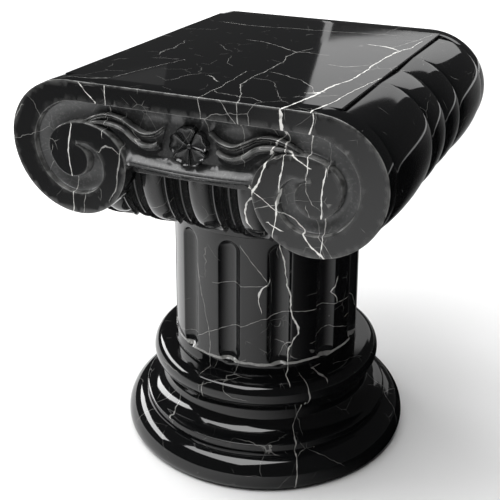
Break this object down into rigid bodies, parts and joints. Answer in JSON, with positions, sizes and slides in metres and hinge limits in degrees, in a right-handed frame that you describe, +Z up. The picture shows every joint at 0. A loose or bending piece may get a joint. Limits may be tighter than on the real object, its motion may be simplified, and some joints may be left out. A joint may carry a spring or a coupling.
{
  "type": "ionic capital pedestal",
  "caption": "Carved marble pedestal or side table: Ionic capital with scrolled volutes and a flat top on a short fluted shaft and a round moulded base.",
  "frame": {"origin": "middle of the round underside, on the surface that the pedestal stands on", "axes": "+Z up along the shaft; the two volute faces look along -Y and +Y, and the two rolls lie along Y on the -X and +X sides"},
  "size_m": [0.4026, 0.38, 0.45],
  "materials": {
    "black_marble": "polished black marble with fine white veins; carved recesses left honed"
  },
  "bodies": {
    "root": {"ionic_capital_pedestal": "black_marble"}
  },
  "joints": []
}
